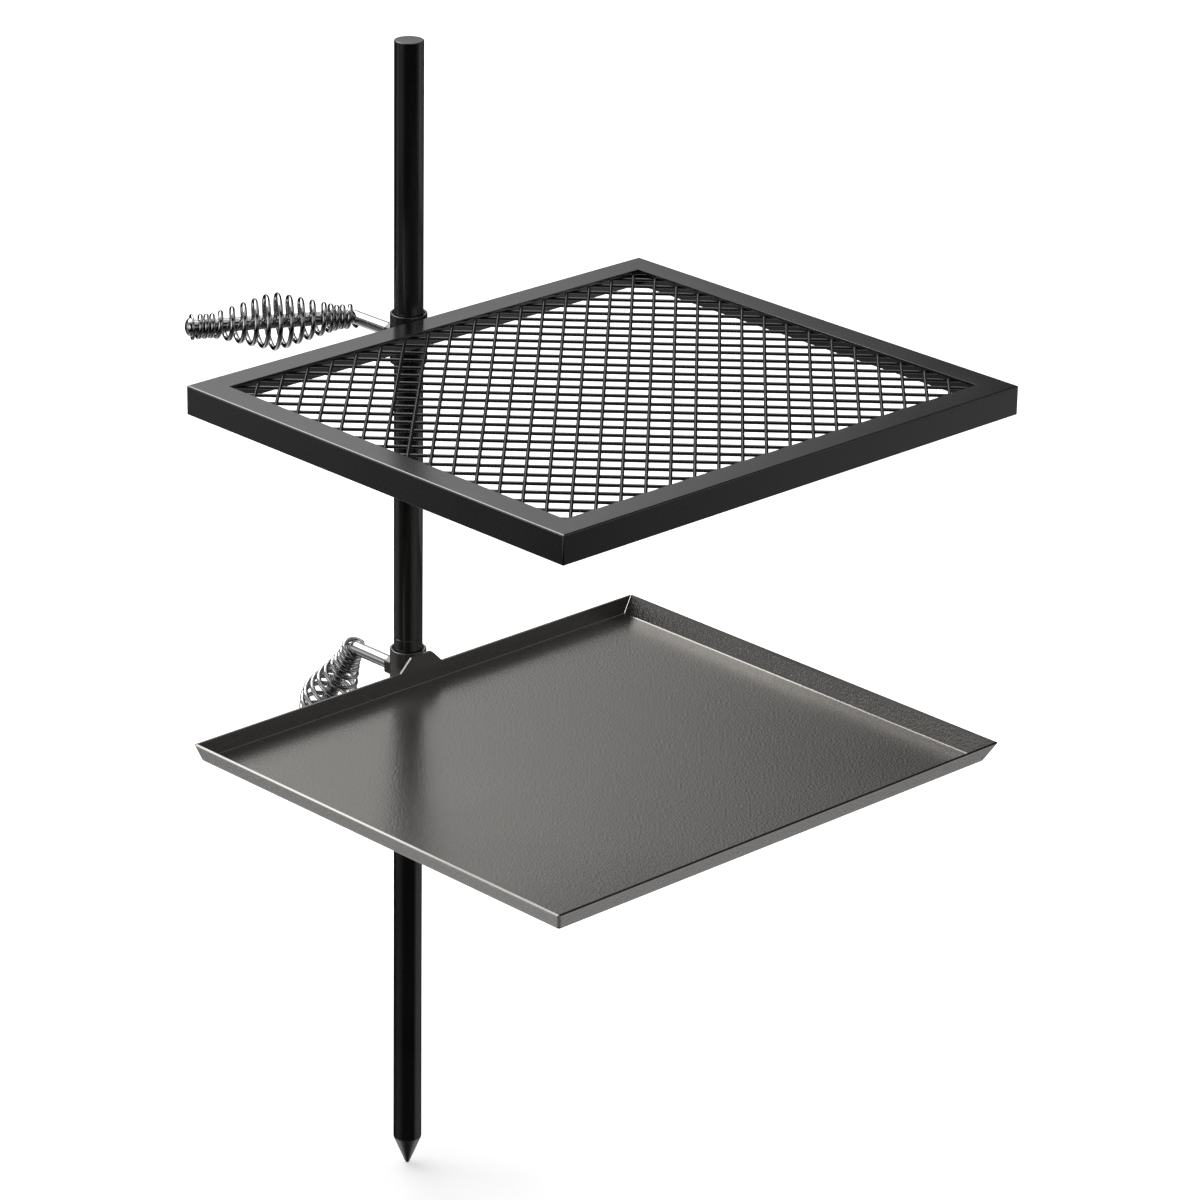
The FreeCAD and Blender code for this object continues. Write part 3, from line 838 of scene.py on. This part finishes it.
pan = bmesh.new()
floor_middle = Vector((0, TRAY_BACK - FLOOR_DEPTH / 2, tray_low.z)) * MM
bmesh.ops.create_grid(pan, x_segments=1, y_segments=1, size=0.5, matrix=Matrix.Translation(floor_middle))
bmesh.ops.scale(pan, vec=(FLOOR_WIDTH * MM, FLOOR_DEPTH * MM, 1), verts=pan.verts,
                space=Matrix.Translation(-floor_middle))
walls = bmesh.ops.extrude_edge_only(pan, edges=pan.edges[:])["geom"]
for corner in verts_in(walls):
    corner.co.x = math.copysign(TRAY_WIDTH / 2 * MM, corner.co.x)
    corner.co.y = (TRAY_BACK if corner.co.y > floor_middle.y else TRAY_FRONT) * MM
    corner.co.z = TRAY_RIM * MM
print("tray outside:", len(pan.faces), "faces")

# %% [markdown]
# The tab grows out of the back wall. Two cuts mark its foot on the wall, and the rim edge between them is
# drawn up, narrowed and rounded at its corners. Then all the folds are rounded, as the press brake leaves
# them.

# %% Tray tab and folds
TAB_BASE = 38.0
TAB_TOP_WIDTH = 17.7
TAB_TOP = tray_high.z
TAB_ROUNDING = 2.0
FOLD_RADIUS = 1.85


def on_back_wall(vert):
    """Whether a vertex lies on the tray's back."""
    return abs(vert.co.y - TRAY_BACK * MM) < SAME_PLACE


def in_tab_foot(vert):
    """Whether a vertex lies on the rim between the two cuts."""
    return abs(vert.co.x) < TAB_BASE / 2 * MM + SAME_PLACE and vert.co.z > TRAY_RIM * MM - SAME_PLACE


for side in (-1, 1):
    back_faces = [f for f in pan.faces if all(on_back_wall(v) for v in f.verts)]
    back_parts = dict.fromkeys(part for f in back_faces for part in (f, *f.edges, *f.verts))
    bmesh.ops.bisect_plane(pan, geom=list(back_parts), dist=CUT_SNAP, plane_no=(1, 0, 0),
                           plane_co=(side * TAB_BASE / 2 * MM, 0, 0))
foot = [e for e in pan.edges if all(in_tab_foot(v) for v in e.verts)]
tab_top = verts_in(bmesh.ops.extrude_edge_only(pan, edges=foot)["geom"])
for corner in tab_top:
    corner.co.x = math.copysign(TAB_TOP_WIDTH / 2 * MM, corner.co.x)
    corner.co.z = TAB_TOP * MM
bmesh.ops.bevel(pan, geom=tab_top, offset=TAB_ROUNDING * MM, affect="VERTICES", segments=4, profile=0.5,
                material=-1)
bmesh.ops.recalc_face_normals(pan, faces=pan.faces)
if sum(f.normal.z * f.calc_area() for f in pan.faces) > 0:
    bmesh.ops.reverse_faces(pan, faces=pan.faces)
soften(pan, angle_edges(pan, 30), FOLD_RADIUS, segments=5)
print("tray with tab:", len(pan.faces), "faces")

# %% [markdown]
# A Solidify modifier gives the sheet its thickness, to the inside. At the corners the walls only meet: a
# folded tray has an open seam there, which a thin slab cuts along the line of each corner. A Bevel modifier
# then takes the sharpness off the cut edges.

# %% Tray sheet and seams
SEAM_WIDTH = 0.4
SEAM_DEPTH = 12.0
SEAM_START = 1.3
CUT_EDGE_BEVEL = 0.2


def thickened(shape, thickness):
    """Gives an open sheet a thickness in millimetres on its inner side."""
    sheet = held("sheet", shape)
    solid = sheet.modifiers.new("solid", "SOLIDIFY")
    solid.thickness = thickness * MM
    solid.offset = -1.0
    solid.use_even_offset = True
    solid.use_quality_normals = True
    return released(sheet)


def corner_slab(side, end):
    """A thin upright slab along the corner line at one side and one end of the tray."""
    low = Vector((side * FLOOR_WIDTH / 2, TRAY_BACK if end > 0 else TRAY_FRONT + TRAY_FLARE, tray_low.z))
    high = Vector((side * TRAY_WIDTH / 2, TRAY_BACK if end > 0 else TRAY_FRONT, TRAY_RIM))
    along = (high - low).normalized()
    across = along.cross(Vector((side, end, 0))).normalized()
    slab_axes = Matrix((across, along, across.cross(along))).transposed().to_4x4()
    place = Matrix.Translation((low + along * (SEAM_START + TRAY_HEIGHT)) * MM) @ slab_axes
    size = Matrix.Diagonal((SEAM_WIDTH * MM, 2 * TRAY_HEIGHT * MM, SEAM_DEPTH * MM, 1))
    slab = bmesh.new()
    bmesh.ops.create_cube(slab, size=1.0, matrix=place @ size)
    return slab


pan = thickened(pan, TRAY_SHEET)
for side in (-1, 1):
    for end in (-1, 1):
        pan = carve(pan, corner_slab(side, end))
tray = piece_from("folded_tray", pan, "tray", tray_coat, "tray_pan", crease=35)
cut_edges = tray.modifiers.new("cut_edges", "BEVEL")
cut_edges.width = CUT_EDGE_BEVEL * MM
cut_edges.segments = 2
cut_edges.limit_method = "ANGLE"
cut_edges.angle_limit = math.radians(60)
tray.modifiers.move(0, 1)
print("tray modifiers:", [m.name for m in tray.modifiers])

# %% [markdown]
# ## Weld beads
# A bead of weld runs up each side of the line where a collar meets its plate. It could be a plain bar with
# a bump, but a bead is a row of overlapping puddles that shows at its edge. So a ring of points is drawn up
# in short steps, and swells and narrows with each puddle.

# %% Weld beads
BEAD_SIDE = 7.4
BEAD_BEHIND = 11.75
BEAD_RADIUS = 1.75
BEAD_RIPPLE = 0.16
BEAD_FOOT = 1.2
BEAD_PITCH = 1.7
BEAD_END = 0.75
BEAD_END_GROWTH = 0.1
STEPS_PER_PUDDLE = 4


def bead_radius(step, steps):
    """The radius of a bead at a step of its way up, in millimetres. It is thinner near both ends."""
    near_end = min(1.0, BEAD_END + BEAD_END_GROWTH * min(step, steps - step))
    return near_end * (BEAD_RADIUS + BEAD_RIPPLE * math.cos(math.tau * step / STEPS_PER_PUDDLE))


for tier in TIERS:
    low, high = [corner.z for corner in frame_box(tier + "_weld")]
    steps = round((high - low) / BEAD_PITCH) * STEPS_PER_PUDDLE
    beads = bmesh.new()
    for side in (-1, 1):
        foot = Vector((side * BEAD_SIDE, -BEAD_BEHIND, low)) * MM
        disc = bmesh.ops.create_circle(beads, cap_ends=True, segments=16, radius=BEAD_FOOT * MM,
                                       matrix=Matrix.Translation(foot))["verts"]
        rim = [e for e in beads.edges if all(v in disc for v in e.verts)]
        radius = BEAD_FOOT
        for step in range(1, steps + 1):
            rim = draw_out(beads, rim, UP * ((high - low) / steps))
            swell = bead_radius(step, steps) / radius
            bmesh.ops.scale(beads, vec=(swell, swell, 1), space=Matrix.Translation((-foot.x, -foot.y, 0)),
                            verts=ends_of(rim))
            radius = bead_radius(step, steps)
        bmesh.ops.contextual_create(beads, geom=rim)
    bmesh.ops.recalc_face_normals(beads, faces=beads.faces)
    piece_from(tier + "_weld_beads", beads, tier, COAT_OF[tier], tier + "_weld", crease=60)

# %% [markdown]
# ## Floor
# The grill stands on a white studio floor. More light would make the floor white, but the grill with it. So
# the floor adds light of its own, for the camera alone, which lifts it to the white of the backdrop, and it
# adds less round the point of the post, so that the soft shadow there stays. Reflections don't see this
# floor, because a white floor would fill the dark sides of the coat and the plated wire.

# %% Studio helpers
AWAY = Vector((-CAMERA_BACK.x, -CAMERA_BACK.y, 0)).normalized()
RIGHT = Vector((CAMERA_RIGHT.x, CAMERA_RIGHT.y, 0)).normalized()
WHITE = (1.0, 1.0, 1.0, 1.0)


def measured(tree, along, place):
    """How far a place lies along a direction."""
    return vector_math(tree, "DOT_PRODUCT", place, along)["Value"]


def eased(tree, value, low, high, start, end):
    """Like ranged, with soft ends."""
    result = ranged(tree, value, low, high, start, end)
    result.node.interpolation_type = "SMOOTHSTEP"
    return result


def shader_mix(tree, mask, first, second):
    """The first shader where the mask is 0, the second where it is 1."""
    made = tree.nodes.new("ShaderNodeMixShader")
    for socket, value in zip(made.inputs, (mask, first, second)):
        fill(tree, socket, value)
    return made.outputs["Shader"]


def stage_plane(name, half_width, half_depth, place):
    """A flat sheet of studio gear, which isn't part of the grill. Returns it and its shader tree."""
    sheet = bmesh.new()
    bmesh.ops.create_grid(sheet, x_segments=1, y_segments=1, size=1.0)
    size = Matrix.Diagonal((half_width, half_depth, 1, 1))
    bmesh.ops.transform(sheet, matrix=place @ size, verts=sheet.verts)
    gear = bpy.data.objects.new(name, mesh_from(name, sheet))
    bpy.context.collection.objects.link(gear)
    material = bpy.data.materials.new(name)
    material.use_nodes = True
    gear.data.materials.append(material)
    return gear, material.node_tree


# %% Floor
FLOOR_HALF = 12.0
FLOOR_LOOK = {"Base Color": (0.8, 0.8, 0.8, 1.0), "Roughness": 0.9, "Specular IOR Level": 0.0,
              "Emission Color": WHITE}

studio_floor, tree = stage_plane("studio_floor", FLOOR_HALF, FLOOR_HALF, Matrix.Identity(4))
studio_floor.visible_glossy = False
shader = tree.nodes["Principled BSDF"]
for label, value in FLOOR_LOOK.items():
    shader.inputs[label].default_value = value
from_point = vector_math(tree, "LENGTH", object_place(tree))["Value"]
for_camera = tree.nodes.new("ShaderNodeLightPath").outputs["Is Camera Ray"]
lift = combined(tree, "MULTIPLY", eased(tree, from_point, 0.44, 1.0, 0.02, 0.42), for_camera)
fill(tree, shader.inputs["Emission Strength"], lift)
print("floor:", 2 * FLOOR_HALF, "m wide")

# %% [markdown]
# ## Backdrop and light
# The camera sees plain white all round. Reflections see a studio with light and dark parts, because that
# contrast is what makes plated wire and black coat readable. Two pale cards lie on the floor, one on each
# side. The long faces of the grate frame and the flanks of the post pick them up, and fade where the cards
# do.

# %% Floor cards
CARD_HALF_WIDTH = 1.5
CARD_HALF_DEPTH = 0.8
CARD_NEARER = 0.1
CARD_LIFT = 0.01
CARDS = {"right_card": (2.3, 0.03, 0.28), "left_card": (-2.1, 0.0, 0.17)}
lying = Matrix((RIGHT, AWAY, UP)).transposed().to_4x4()


def reflected_only(gear, tree, strength):
    """Studio gear that gives off light of its own and shows only in reflections."""
    glow = node(tree, "Emission", Color=WHITE, Strength=strength)
    fill(tree, tree.nodes["Material Output"].inputs["Surface"], glow.outputs["Emission"])
    gear.visible_camera = False
    gear.visible_diffuse = False
    gear.visible_shadow = False


for name, (aside, near_glow, far_glow) in CARDS.items():
    middle = RIGHT * aside - AWAY * CARD_NEARER + UP * CARD_LIFT
    card, tree = stage_plane(name, CARD_HALF_WIDTH, CARD_HALF_DEPTH, Matrix.Translation(middle) @ lying)
    depth = measured(tree, AWAY, object_place(tree))
    reflected_only(card, tree, ranged(tree, depth, near_glow, far_glow, -0.6, 0.1))
print("cards:", ", ".join(CARDS))

# %% [markdown]
# The rest of the studio is far away, so it depends on the direction alone, and the world's shader can hold
# it without a single object. Each part of it is a product of soft fades along three directions: up, to the
# right and away from the camera. The wall at the back is brightest left of the middle, fades to the right,
# and is dark at the far left below mid height. The left side is lit at eye level and the right side is dim,
# with a strip of light higher up. Two panels stand behind the camera, a soft light hangs overhead, and a
# pale table lies below.

# %% Studio in reflections
world = bpy.data.worlds.new("studio")
bpy.context.scene.world = world
world.use_nodes = True
tree = world.node_tree
tree.nodes.clear()
direction = tree.nodes.new("ShaderNodeTexCoord").outputs["Generated"]
height = measured(tree, UP, direction)
sideways = measured(tree, RIGHT, direction)
onwards = measured(tree, AWAY, direction)


def faded(*fades):
    """A product of soft fades: each is a direction with its low and high light, and its start and end."""
    return combined(tree, "MULTIPLY", *[eased(tree, *fade) for fade in fades])


def either(operation, first, second):
    """Two soft fades, joined by a Math operation."""
    return combined(tree, operation, eased(tree, *first), eased(tree, *second))


back_wall = faded((sideways, 0.80, 0.03, -0.045, 0.106), (onwards, 0.0, 1.0, -0.35, 0.6),
                  (height, 0.06, 1.0, 0.14, 0.29), (height, 0.88, 1.22, 0.30, 0.46))
not_far_left = either("MAXIMUM", (sideways, 0.06, 1.0, -0.42, -0.22), (height, 0.0, 1.0, 0.50, 0.66))
left_side = faded((sideways, 0.80, 0.02, -0.95, -0.45), (onwards, 1.0, 0.2, 0.10, 0.32),
                  (height, 0.07, 1.0, -0.30, 0.02), (height, 1.0, 0.44, 0.06, 0.28))
right_side = faded((sideways, 0.0, 0.17, 0.4, 0.8), (onwards, 0.0, 1.0, -0.5, -0.15),
                   (height, 1.0, 0.1, -0.1, 0.15))
strip = faded((sideways, 0.0, 0.62, 0.6, 0.85), (height, 0.0, 1.0, 0.26, 0.36),
              (height, 1.0, 0.0, 0.42, 0.52))
table = faded((sideways, 1.0, 0.78, 0.2, 0.5), (onwards, 0.12, 1.0, -0.5, 0.1),
              (height, 0.08, 1.0, -0.97, -0.80), (height, 0.74, 0.0, -0.74, -0.48))
behind_camera = faded((onwards, 1.0, 0.0, -0.55, -0.25), (height, 0.0, 1.0, 0.04, 0.14),
                      (height, 1.0, 0.0, 0.42, 0.6))
two_panels = either("ADD", (sideways, 0.95, 0.0, -0.60, -0.30), (sideways, 0.0, 0.40, 0.30, 0.50))
overhead_light = eased(tree, height, 0.0, 0.6, 0.80, 0.92)
back = combined(tree, "MULTIPLY", back_wall, not_far_left)
panels = combined(tree, "MULTIPLY", behind_camera, two_panels)
studio = combined(tree, "ADD", back, left_side, right_side, strip, panels, overhead_light, table)
print("studio:", len(tree.nodes), "nodes")

# %% [markdown]
# The kind of ray decides what it sees. The camera's own rays see white, mirrored and refracted rays see the
# studio, and the soft light on matt surfaces comes from an even grey.

# %% Backdrop
ROOM_LIGHT = 0.55

ray = tree.nodes.new("ShaderNodeLightPath").outputs
mirrored = combined(tree, "MAXIMUM", ray["Is Glossy Ray"], ray["Is Transmission Ray"])
even, reflected, white = [node(tree, "Background", Color=WHITE, Strength=strength).outputs["Background"]
                          for strength in (ROOM_LIGHT, studio, 1.0)]
around = shader_mix(tree, mirrored, even, reflected)
backdrop = shader_mix(tree, ray["Is Camera Ray"], around, white)
fill(tree, tree.nodes.new("ShaderNodeOutputWorld").inputs["Surface"], backdrop)
print("backdrop:", len(tree.nodes), "nodes")

# %% [markdown]
# Three lamps finish the light. Points or a sun would throw hard shadows, so they are soft rectangles. The
# key lamp stands behind the grill and above it, and the tray's floor shows its glow. The other two only
# brighten matt surfaces, so reflections don't see them.

# %% Lamps
GRILL_MIDDLE = (0, -0.15, 0.4)
TRAY_MIDDLE = (0, -0.2, 0.385)


def soft_lamp(name, place, target, width, height, power):
    """A soft lamp that the camera doesn't see."""
    light = bpy.data.lights.new(name, "AREA")
    light.shape = "RECTANGLE"
    light.size = width
    light.size_y = height
    light.energy = power
    lamp = bpy.data.objects.new(name, light)
    lamp.location = place
    lamp.rotation_euler = (Vector(target) - Vector(place)).to_track_quat("-Z", "Y").to_euler()
    lamp.visible_camera = False
    bpy.context.collection.objects.link(lamp)
    return lamp


key = soft_lamp("key", (-0.08, 1.13, 1.87), TRAY_MIDDLE, 1.65, 0.9, 14.5)
overhead = soft_lamp("overhead", (-0.3, 0.0, 2.6), GRILL_MIDDLE, 1.2, 1.2, 8.0)
right_fill = soft_lamp("right_fill", RIGHT * 2.2 - AWAY * 0.1 + UP * 1.1, GRILL_MIDDLE, 1.6, 0.6, 1.1)
for lamp in (overhead, right_fill):
    lamp.visible_glossy = False
print("lamps in W:", [lamp.data.energy for lamp in (key, overhead, right_fill)])

# %% [markdown]
# ## Finish
# The colours are shown as they are, without a film look.

# %% Finish
bpy.context.scene.view_settings.view_transform = "Standard"
